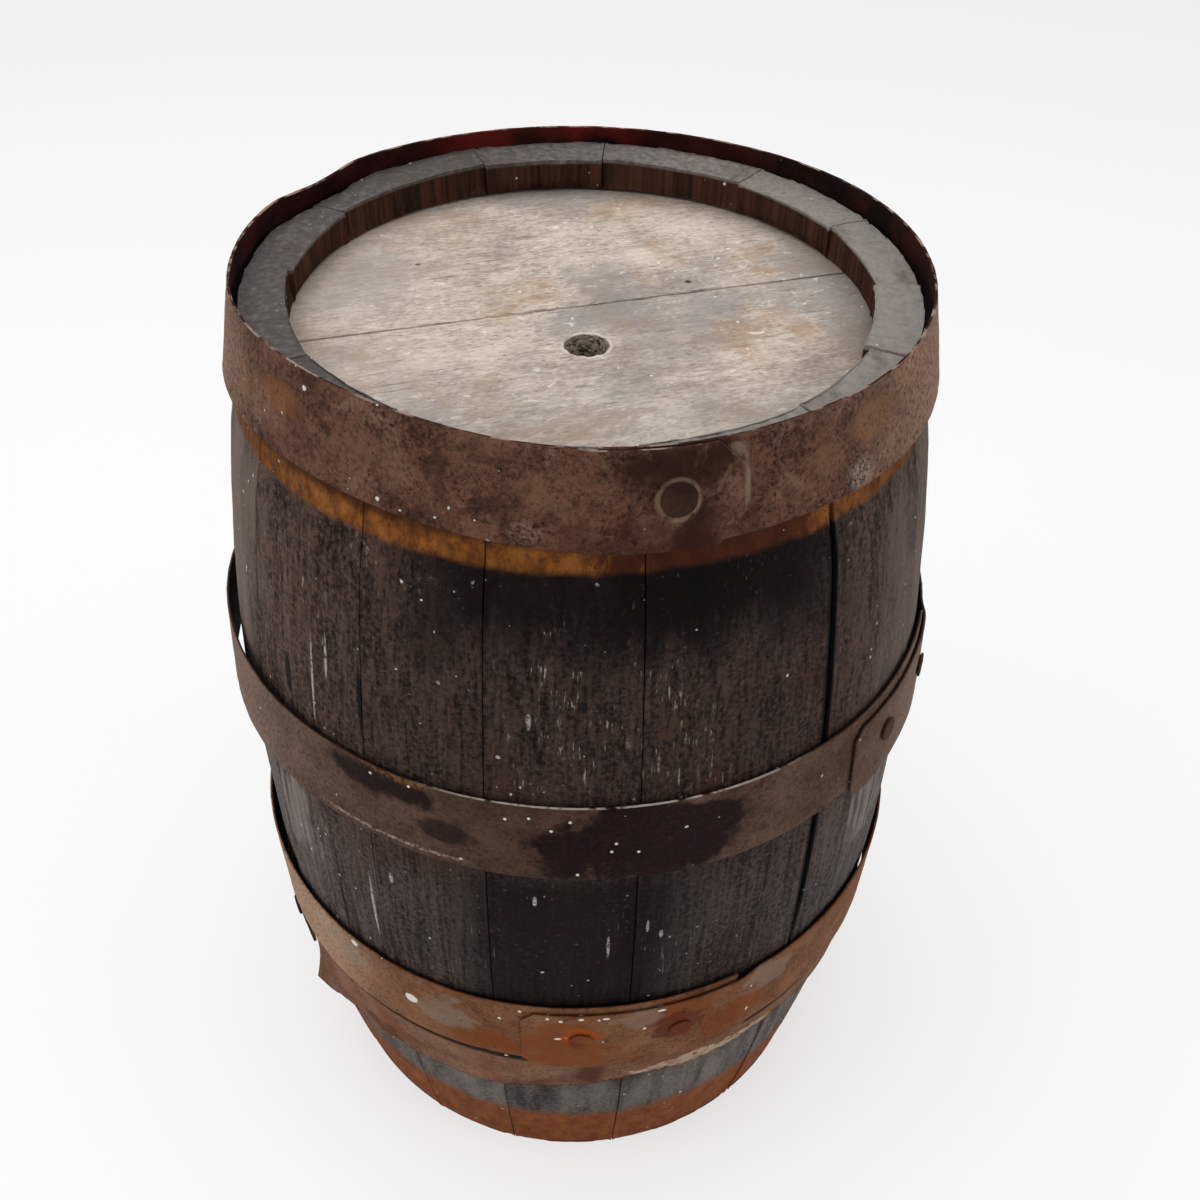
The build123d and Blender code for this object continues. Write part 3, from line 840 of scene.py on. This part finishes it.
def iron_coat(spot, plain, light, rust, dark):
    """Old strip iron: a skin with lighter clouds, rust, dark patches and pits.

    Rust and dark are each a colour, and the values of its cloud where it starts and where it is full.
    """
    rust_colour, rust_none, rust_full = rust
    dark_colour, dark_none, dark_full = dark
    fine = mottle(spot, 520, 6, 0.78)
    cloud = mottle(spot, 34, 7, 0.7)
    blotch = mottle(moved(spot, 4, 1, 2), 19, 5, 0.6, 0.5)
    coat = blend(plain, light, fade(fine * 0.5 + cloud * 0.5, 0.38, 0.62))
    coat = blend(coat, rust_colour, fade(blotch * 0.7 + fine * 0.3, rust_none, rust_full))
    dark_cloud = mottle(moved(spot, 9, 3, 5), 14, 4, 0.5, 0.8)
    coat = blend(coat, dark_colour, fade(dark_cloud, dark_none, dark_full))
    pits = fade(mottle(spot, 520, 4, 0.7), 0.38, 0.28)
    coat = blend(coat, colour(40, 27, 23), pits * 0.22)
    relief = fine * 0.5 + cloud * 0.4 - pits * 0.5
    return coat, relief, fine


def edge_share(spot):
    """1 on the upper edge of a hoop and 0 on its sides."""
    normal = spot.node("TexCoord", output="Normal")
    return fade(axes(normal)[2], 0.55, 0.85)


def inside_share(spot):
    """1 on the inside of a hoop and 0 on its outside."""
    normal = spot.node("TexCoord", output="Normal")
    outward = scaled(spot, 1, 1, 0)
    facing = spot.node("VectorMath", {"operation": "DOT_PRODUCT"}, {0: normal, 1: outward}, "Value")
    return fade(facing, 0.02, -0.02)


top_hoop_seat = stave_length - top_hoop_width
top_hoop_lean = stave_outside(top_hoop_seat) - stave_outside(top_hoop_seat + top_hoop_slip)
top_hoop_shift = Vector((cos(top_hoop_lean_angle), sin(top_hoop_lean_angle), 0)) * top_hoop_lean
top_hoop_place = Matrix.Translation(top_hoop_shift + Vector((0, 0, top_hoop_seat + top_hoop_slip)))
top_hoop_form = (top_hoop_place, top_hoop_width, seat_radii(top_hoop_seat, top_hoop_width))


def bend_top_hoop(travel, angle, share):
    """The rim: knocked in at the rear left, lifted at the front left, pushed out and lower at the rear."""
    proud = max(0, share - 0.72) / 0.28
    dent = max(0, 1 - (degrees_from(angle, dent_angle) / 13) ** 2) ** 2 * proud
    lifted = max(0, 1 - (degrees_from(angle, -133) / 42) ** 2) ** 2
    at_rear = max(0, cos(radians(angle - rear_angle)))
    drawn_in = -0.0009 + 0.0008 * cos(radians(angle - 100))
    outward = drawn_in + rear_flare * at_rear - 0.0004 * lifted - 0.0046 * dent
    upward = 0.0048 * lifted - 0.0012 * dent - 0.002 * at_rear + 0.0006 * edge_wave(angle, 2.2, 0.3)
    return outward, upward


# Each trim of a strip's outer end: a point on the cut, back from the end and up, and which way is cut off.
top_hoop = roll_strip(
    "top_chime_hoop_rolled",
    top_hoop_form,
    end=radians(-67),
    turn=1,
    lap=radians(21),
    trims=((0.013, 0.0415, 9, 13), (0, 0.0325, 13, 4), (0.013, 0, 9, -13), (0, 0.009, 13, -3)),
    bend=bend_top_hoop,
)
top_hoop_finish, spot = new_finish("brown_top_hoop_iron")
coat, relief, fine = iron_coat(
    spot,
    plain=colour(42, 25, 19),
    light=colour(110, 78, 62),
    rust=(colour(110, 66, 40), 0.56, 0.72),
    dark=(colour(46, 26, 20), 0.5, 0.68),
)
height = axes(spot)[2]
around = turn_angle(spot)
ragged = mottle(spot, 60, 5, 0.66)
smear = mottle(moved(spot, 7, 7, 1), 48, 5, 0.62, 0.7)
coat = blend(coat, colour(126, 100, 85), fade(smear, 0.54, 0.68) * fade(fine, 0.34, 0.6) * 0.6)
coat = blend(coat, colour(36, 22, 18), fade(smear, 0.46, 0.34) * 0.55)
# Painted light: the hoop is made paler away from the front, as if its sides were more lit.
coat = blend(coat, colour(160, 128, 108), fade(abs(around + 98), 40, 72) * fade(fine, 0.3, 0.6) * 0.65)
coat = blend(coat, colour(132, 84, 46), patch_at(around, height, fine, -138, 5, 0.499, 0.006) * 0.4)
coat = blend(coat, colour(130, 92, 60), patch_at(around, height, fine, -44, 5, 0.497, 0.008) * 0.35)
coat = blend(coat, colour(58, 30, 21), patch_at(around, height, ragged, -83, 16, 0.474, 0.009) * 0.5)
# Inside the hoop: dark red-brown rust, darkened further as painted shade, and redder at the rear.
inside = inside_share(spot)
red_share = fade(abs(around - 100), 26, 13) * 0.85 + 0.15
inner_coat = blend(colour(24, 14, 13), colour(46, 24, 19), fade(mottle(spot, 40, 4), 0.4, 0.62))
inner_coat = blend(inner_coat, colour(96, 30, 24), fade(mottle(spot, 26, 4), 0.4, 0.6) * red_share)
coat = blend(coat, inner_coat, inside)
scuff = patch_at(around, height, fine, -47.5, 3, 0.477, 0.007) * fade(fine, 0.42, 0.62)
left_scuff = patch_at(around, height, fine, -97, 3, 0.477, 0.005) * fade(fine, 0.46, 0.62) * 0.5
coat = blend(coat, colour(166, 150, 137), either(scuff, left_scuff) * 0.7)
# A pale ring round the rivet's head: partly its worn rim, partly a painted highlight on the rim.
rivet_spot = (0.0361, -0.1603, 0.4908)
ring = spot.node("VectorMath", {"operation": "DISTANCE"}, {0: spot, 1: rivet_spot}, "Value")
ring = fade(ring, 0.0098, 0.0082) * fade(mottle(spot, 160, 4), 0.36, 0.56)
coat = blend(coat, colour(140, 114, 99), ring * 0.65)
lap_side = patch_at(around, height, fine, -67.5, 0.6, 0.489, 0.016)
lap_corner = patch_at(around, height, fine, -69, 1.6, 0.5055, 0.003)
lap_edge = either(lap_side, lap_corner) * fade(mottle(spot, 120, 4), 0.36, 0.58)
coat = blend(coat, colour(142, 122, 108), lap_edge * 0.5)
coat = blend(coat, colour(170, 152, 138), edge_share(spot) * fade(mottle(spot, 90, 4), 0.46, 0.6) * 0.6)
drops = spatter(spot, 105, 0.15, 0.5) * fade(mottle(moved(spot, 1, 2, 3), 11, 2), 0.4, 0.5)
left_drops = spatter(moved(spot, 4, 4, 4), 150, 0.2, 0.5) * fade(abs(around + 112), 16, 6)
drops = either(drops, left_drops)
coat = blend(coat, colour(216, 211, 204), drops * 0.9)
lay_finish(spot, coat, 0.62 + fine * 0.25, 0.15, relief + drops * 0.3, 0.0008)

rivet_finish, spot = new_finish("brown_rivet_iron")
head_rust, relief, fine = iron_coat(
    spot,
    plain=colour(50, 32, 25),
    light=colour(74, 51, 40),
    rust=(colour(88, 54, 36), 0.56, 0.72),
    dark=(colour(40, 26, 22), 0.5, 0.66),
)
lay_finish(spot, head_rust, 0.6 + fine * 0.25, 0.15, relief, 0.0006)
fit_rivets(
    top_hoop, top_hoop_form, (-77.3,), top_rivet_head, "top_chime_hoop", rivet_finish, top_hoop_inset
)
finish_hoop(top_hoop, "top_chime_hoop", top_hoop_finish)


# Upper bilge hoop: the same kind of strip, still driven tight on the swelling of the staves. Its outer
# end comes round from the right and lies a little lower than the end under it, held by two rivets.
# Its brown skin has dark, almost black patches.
upper_hoop_width = 0.0455
upper_hoop_height = 0.2965
upper_hoop_place = Matrix.Translation((0, 0, upper_hoop_height))
upper_hoop_form = (upper_hoop_place, upper_hoop_width, seat_radii(upper_hoop_height, upper_hoop_width))
small_rivet_head = (0.0065, 0.002)


def bend_upper_hoop(travel, angle, share):
    """The outer end runs downhill, the end under it uphill, and the strip stands off a little at the left."""
    last = ramp(travel - 2 * pi + 0.5, 1.0)
    first = ramp(0.9 - travel, 0.9)
    wave = edge_wave(angle, 3, 4.1)
    off_left = max(0, 1 - (degrees_from(angle, 192) / 42) ** 2)
    return 0.0003 * (1 + wave) + 0.0024 * off_left, -0.0045 * last + 0.003 * first + 0.0006 * wave


upper_hoop = roll_strip(
    "upper_bilge_hoop_rolled",
    upper_hoop_form,
    end=radians(-45),
    turn=-1,
    lap=radians(29),
    trims=((0.006, 0.0455, 1, 1), (0.006, 0, 1, -1)),
    bend=bend_upper_hoop,
)
upper_hoop_finish, spot = new_finish("dark_upper_hoop_iron")
coat, relief, fine = iron_coat(
    spot,
    plain=colour(58, 42, 34),
    light=colour(96, 74, 62),
    rust=(colour(96, 65, 42), 0.56, 0.74),
    dark=(colour(44, 29, 25), 0.56, 0.72),
)
height = axes(spot)[2]
around = turn_angle(spot)
# Painted light: the hoop is made paler away from the front, as if its sides were more lit.
coat = blend(coat, colour(146, 121, 106), fade(abs(around + 85), 34, 72) * fade(fine, 0.3, 0.6) * 0.55)
ragged = mottle(spot, 46, 5, 0.6) * 0.6 + 0.2
bare = patch_at(around, height, ragged, -81, 17.5, 0.318, 0.028)
bare = either(bare, patch_at(around, height, ragged, -119, 8.5, 0.334, 0.011))
bare = either(bare, patch_at(around, height, ragged, -108, 5, 0.316, 0.007) * 0.8)
bare_iron = blend(colour(8, 1, 1), colour(40, 13, 11), fade(fine, 0.4, 0.7))
coat = blend(coat, colour(40, 22, 15), fade(abs(around + 100), 16, 6) * 0.3)
coat = blend(coat, bare_iron, bare * 0.95)
rusty = patch_at(around, height, ragged, -117, 7, 0.343, 0.006) * fade(fine, 0.4, 0.6)
coat = blend(coat, colour(128, 88, 50), rusty * 0.7)
coat = blend(coat, colour(44, 30, 28), inside_share(spot))
# The top edge at the front is made pale: partly worn paint, partly a painted highlight along the edge.
front = fade(abs(around + 84), 32, 18)
bright_edge = edge_share(spot) * front * fade(mottle(spot, 120, 3), 0.36, 0.5)
coat = blend(coat, colour(186, 176, 166), bright_edge * 0.8)
scrape = fade(abs(height - 0.3005), 0.0016, 0.0004) * fade(abs(around + 118), 14, 8) * fade(fine, 0.42, 0.6)
coat = blend(coat, colour(164, 150, 138), scrape * 0.7)
drops = spatter(spot, 120, 0.15, 0.5) * fade(mottle(moved(spot, 3, 2, 1), 12, 2), 0.42, 0.54)
for angle, middle in (
    (-120.4, 0.3365),
    (-114, 0.338),
    (-99.8, 0.333),
    (-96.5, 0.335),
    (-93.4, 0.328),
    (-90.8, 0.334),
    (-89.7, 0.3005),
    (-85, 0.315),
    (-84.4, 0.32),
    (-81.2, 0.3135),
):
    drop = patch_at(around, height, fine * 0.3 + 0.35, angle, 0.24, middle, 0.0008)
    drops = either(drops, drop)
coat = blend(coat, colour(222, 217, 210), drops * 0.9)
lay_finish(spot, coat, 0.58 + fine * 0.25 - bare * 0.1, 0.15, relief + drops * 0.3, 0.0007)
fit_rivets(
    upper_hoop, upper_hoop_form, (-36, -20), small_rivet_head, "upper_bilge_hoop", rivet_finish
)
finish_hoop(upper_hoop, "upper_bilge_hoop", upper_hoop_finish)


# Bottom hoop: a strip eaten by rust, tucked up under the loose hoop above it. Its lower edge is torn
# into bites and tabs that stand off the staves, and its skin has flaked to a pinkish brown.
bottom_hoop_width = 0.041
bottom_hoop_height = 0.095
bottom_hoop_radii = seat_radii(bottom_hoop_height, bottom_hoop_width)
bottom_hoop_place = Matrix.Translation((0, 0, bottom_hoop_height))
bottom_hoop_form = (bottom_hoop_place, bottom_hoop_width, bottom_hoop_radii)

# The torn lower edge round the cask: an angle, and how far the edge lies above its old line there, in mm.
torn_edge = (
    (-180, 3), (-160, 2), (-152, 0), (-148, -3), (-145, -6), (-143, -5), (-141, -3), (-138, -3), (-135, -5),
    (-133, -8), (-131.7, -11), (-129.8, -11), (-128, -7), (-126.5, 1), (-124, 1), (-120, 0), (-115, 1),
    (-107, 0.5), (-103, 2), (-99, 5), (-92, 9), (-85, 12.5), (-78, 17.5), (-74, 16), (-70, 14), (-66, 15),
    (-62, 17), (-58, 19), (-53, 21), (-48, 20), (-40, 18), (-30, 15), (-20, 12), (-10, 9), (0, 6), (15, 6),
    (30, 1), (58, 4), (80, 1), (101, 6), (120, 1), (140, 5), (160, 2), (180, 3),
)


def bend_bottom_hoop(travel, angle, share):
    """The torn lower edge, and a lip of it at the left that has sprung off the staves."""
    angle = degrees_from(angle, 0)
    torn = 0
    for (first, first_rise), (last, last_rise) in zip(torn_edge, torn_edge[1:]):
        if first <= angle <= last:
            torn = (first_rise + (last_rise - first_rise) * (angle - first) / (last - first)) * millimetre
    torn += 0.0011 * (edge_wave(angle, 14, 0) + edge_wave(angle, 37, 0))
    sprung = max(0, min((angle + 149.5) / 2, (-134 - angle) / 13.5))
    low = max(0, 1 - share)
    return 0.009 * low * low * min(1, sprung) ** 1.4, torn * low * low


bottom_hoop = roll_strip(
    "bottom_hoop_rolled",
    bottom_hoop_form,
    end=radians(-153),
    turn=1,
    lap=radians(30),
    trims=((0.006, 0.041, 1, 1), (0.004, 0, 1, -1)),
    bend=bend_bottom_hoop,
)
bottom_hoop_finish, spot = new_finish("flaked_bottom_hoop_iron")
coat, relief, fine = iron_coat(
    spot,
    plain=colour(100, 68, 52),
    light=colour(138, 104, 84),
    rust=(colour(124, 76, 48), 0.52, 0.66),
    dark=(colour(80, 50, 38), 0.54, 0.68),
)
height = axes(spot)[2]
around = turn_angle(spot)
ragged = mottle(scaled(spot, 60, 60, 150), 1, 5, 0.66)
scrape = patch_at(around, height, ragged, -66, 12, 0.116, 0.006)
scrape = scrape * fade(mottle(spot, 240, 4, 0.7), 0.36, 0.52)
coat = blend(coat, colour(184, 162, 142), scrape * 0.75)
shade_height = height + fade(around, -95, -70) * 0.0025
coat = blend(coat, colour(22, 12, 9), fade(shade_height, 0.1295, 0.133) * 0.92)
coat = blend(coat, colour(66, 36, 26), patch_at(around, height, ragged, -129, 4, 0.098, 0.01) * 0.6)
coat = blend(coat, colour(52, 34, 30), inside_share(spot))
drops = spatter(spot, 115, 0.16, 0.4) * fade(mottle(moved(spot, 5, 1, 1), 12, 2), 0.44, 0.58)
coat = blend(coat, colour(214, 208, 200), drops * 0.9)
lay_finish(spot, coat, 0.72 + fine * 0.2, 0.05, relief * 1.3, 0.0012)
fit_rivets(bottom_hoop, bottom_hoop_form, (-159, -175), small_rivet_head, "bottom_hoop", rivet_finish)
finish_hoop(bottom_hoop, "bottom_hoop", bottom_hoop_finish)


# Lower bilge hoop: a wider strip that has come loose as the cask dried. It stands off the staves, most of
# all below, where the bottom hoop is tucked under it. The rounded outer end at the front is held by two
# rivets. Brown and orange rust with bare grey patches.
lower_hoop_width = 0.051
lower_hoop_height = 0.140
lower_hoop_slack = 0.0008
lower_hoop_radii = (
    bottom_hoop_radii[1] + hoop_thickness + hoop_clearance,
    stave_outside(lower_hoop_height + lower_hoop_width) + lower_hoop_slack,
)
lower_hoop_place = Matrix.Translation((0, 0, lower_hoop_height))
lower_hoop_form = (lower_hoop_place, lower_hoop_width, lower_hoop_radii)


def bend_lower_hoop(travel, angle, share):
    """The outer end runs downhill, the end under it uphill, and the edges are not quite straight."""
    last = ramp(travel - 2 * pi + 0.4, 0.9)
    first = ramp(0.8 - travel, 0.8)
    wave = edge_wave(angle, 3, 8.7)
    return 0.0002 * (1 + wave), -0.003 * last + 0.002 * first + 0.0006 * wave


lower_hoop = roll_strip(
    "lower_bilge_hoop_rolled",
    lower_hoop_form,
    end=radians(-98.5),
    turn=-1,
    lap=radians(36),
    trims=((0.007, 0.051, 1, 2.4), (0, 0.044, 2.4, 1), (0.007, 0, 1, -2.4), (0, 0.007, 2.4, -1)),
    bend=bend_lower_hoop,
)
lower_hoop_finish, spot = new_finish("rusty_lower_hoop_iron")
coat, relief, fine = iron_coat(
    spot,
    plain=colour(84, 51, 30),
    light=colour(130, 90, 64),
    rust=(colour(116, 64, 29), 0.5, 0.66),
    dark=(colour(116, 90, 72), 0.56, 0.7),
)
height = axes(spot)[2]
around = turn_angle(spot)
ragged = mottle(scaled(spot, 50, 50, 70), 1, 5, 0.62)
for angle, half_angle, middle, half_height in (
    (-91, 7, 0.156, 0.022),
    (-72, 5, 0.182, 0.008),
    (-64, 6, 0.16, 0.014),
    (-104, 4, 0.152, 0.008),
):
    orange = patch_at(around, height, ragged, angle, half_angle, middle, half_height)
    coat = blend(coat, colour(118, 60, 24), orange * fade(fine, 0.3, 0.55) * 0.8)
for angle, half_angle, middle, half_height in (
    (-80, 4, 0.182, 0.008),
    (-56, 5, 0.178, 0.01),
    (-111, 6, 0.168, 0.014),
    (-134, 8, 0.176, 0.012),
):
    grey = patch_at(around, height, ragged, angle, half_angle, middle, half_height)
    coat = blend(coat, colour(126, 112, 100), grey * 0.5)
coat = blend(coat, colour(176, 147, 122), fade(abs(around + 147), 29, 5) * fade(fine, 0.3, 0.6) * 0.8)
coat = blend(coat, colour(156, 72, 24), patch_at(around, height, ragged, -88.5, 3, 0.1665, 0.008) * 0.6)
coat = blend(coat, colour(84, 36, 22), patch_at(around, height, ragged, -73, 4.5, 0.168, 0.011) * 0.7)
coat = blend(coat, colour(58, 34, 26), inside_share(spot))
drops = spatter(spot, 115, 0.17, 0.45) * fade(mottle(moved(spot, 2, 6, 4), 11, 2), 0.42, 0.54)
for x, y, z, reach in ((-0.0858, -0.1614, 0.166, 0.0054), (-0.1159, -0.1416, 0.187, 0.0032)):
    blot = fade(near(spot, x, y, z, reach) + (fine - 0.5) * 0.8, 0.3, 0.5)
    drops = either(drops, blot)
for angle, half_angle, middle in (
    (-102, 0.3, 0.176),
    (-98.6, 0.3, 0.186),
    (-94.1, 0.3, 0.1854),
    (-92, 0.35, 0.1836),
    (-88.8, 0.45, 0.1858),
    (-86, 0.25, 0.1848),
    (-84.9, 0.6, 0.1856),
    (-78.6, 0.3, 0.1715),
    (-76, 0.7, 0.1862),
    (-92.5, 0.6, 0.1665),
):
    drop = patch_at(around, height, fine * 0.3 + 0.35, angle, half_angle, middle, 0.001)
    drops = either(drops, drop)
coat = blend(coat, colour(222, 217, 210), drops * 0.9)
lay_finish(spot, coat, 0.6 + fine * 0.25, 0.1, relief + drops * 0.3, 0.0007)

orange_rivet_finish, spot = new_finish("orange_rivet_iron")
head_rust, relief, fine = iron_coat(
    spot,
    plain=colour(128, 68, 34),
    light=colour(152, 92, 52),
    rust=(colour(104, 54, 32), 0.5, 0.66),
    dark=(colour(84, 40, 30), 0.52, 0.66),
)
across = axes(spot)[0]
head_rust = blend(head_rust, colour(80, 38, 25), fade(across, 0.02, 0.04) * 0.8)
lay_finish(spot, head_rust, 0.66 + fine * 0.25, 0.05, relief, 0.0008)
fit_rivets(
    lower_hoop, lower_hoop_form, (-88.8, -72.6), small_rivet_head, "lower_bilge_hoop", orange_rivet_finish
)
finish_hoop(lower_hoop, "lower_bilge_hoop", lower_hoop_finish)


# Floor, light and camera: a plain pale floor that fades to white but keeps the cask's shadow, four soft
# lamps round it under an even sky, and a camera that looks down on the cask as in the photograph.
bpy.ops.object.select_all(action="DESELECT")
bpy.ops.mesh.primitive_plane_add(size=60)
floor = bpy.context.object
floor.name = "floor"
floor_finish, spot = new_finish("pale_floor")
surface = spot.node("BsdfDiffuse", None, {"Color": (0.92, 0.92, 0.92, 1)})
glow = spot.node("Emission", None, {"Color": (1, 1, 1, 1), "Strength": 1.0})
ray = spot.node("LightPath", output="Is Camera Ray")
seen = fade(ray + ray.other("Is Glossy Ray") + ray.other("Is Transmission Ray"), 0.4, 0.6)
surface = spot.node("MixShader", None, {0: seen * 0.6, 1: surface, 2: glow})
spot.node("OutputMaterial", None, {"Surface": surface})
floor.data.materials.append(floor_finish)

world = bpy.data.worlds.new("daylight")
world.use_nodes = True
world.node_tree.nodes.clear()
bpy.context.scene.world = world
ray = Paint(world.node_tree).node("LightPath", output="Is Camera Ray")
seen = ray + ray.other("Is Glossy Ray") + ray.other("Is Transmission Ray")
sky = ray.node("Background", None, {"Color": (1, 1, 1, 1), "Strength": 0.55})
white = ray.node("Background", None, {"Color": (1, 1, 1, 1), "Strength": 1.0})
both = ray.node("MixShader", None, {0: fade(seen, 0.4, 0.6), 1: sky, 2: white})
ray.node("OutputWorld", None, {"Surface": both})

for name, place, size, power in (
    ("overhead_light", (-0.3, 0.1, 2.4), 2.0, 26),
    ("left_light", (-2.5, -0.9, 1.5), 1.6, 15),
    ("right_light", (2.5, -0.7, 1.4), 1.6, 13),
    ("front_light", (0.3, -2.8, 1.3), 1.6, 5),
):
    light = bpy.data.lights.new(name, "AREA")
    light.size = size
    light.energy = power
    lamp = bpy.data.objects.new(name, light)
    lamp.location = place
    lamp.rotation_euler = (Vector((0, 0, 0.28)) - lamp.location).to_track_quat("-Z", "Y").to_euler()
    bpy.context.scene.collection.objects.link(lamp)

camera_data = bpy.data.cameras.new("camera")
camera_data.sensor_width = 36
camera_data.lens = 39
camera_data.clip_start = 0.01
camera = bpy.data.objects.new("camera", camera_data)
camera_pan = Matrix.Rotation(-0.0212, 4, "Z")
camera_tilt = Matrix.Rotation(pi / 2 - 0.706, 4, "X")
camera_roll = Matrix.Rotation(0.0268, 4, "Z")
camera_place = Matrix.Translation((0, -0.54585, 0.77131))
camera.matrix_world = camera_place @ (camera_pan @ camera_tilt @ camera_roll)
bpy.context.scene.collection.objects.link(camera)
bpy.context.scene.camera = camera
bpy.context.scene.view_settings.view_transform = "Standard"
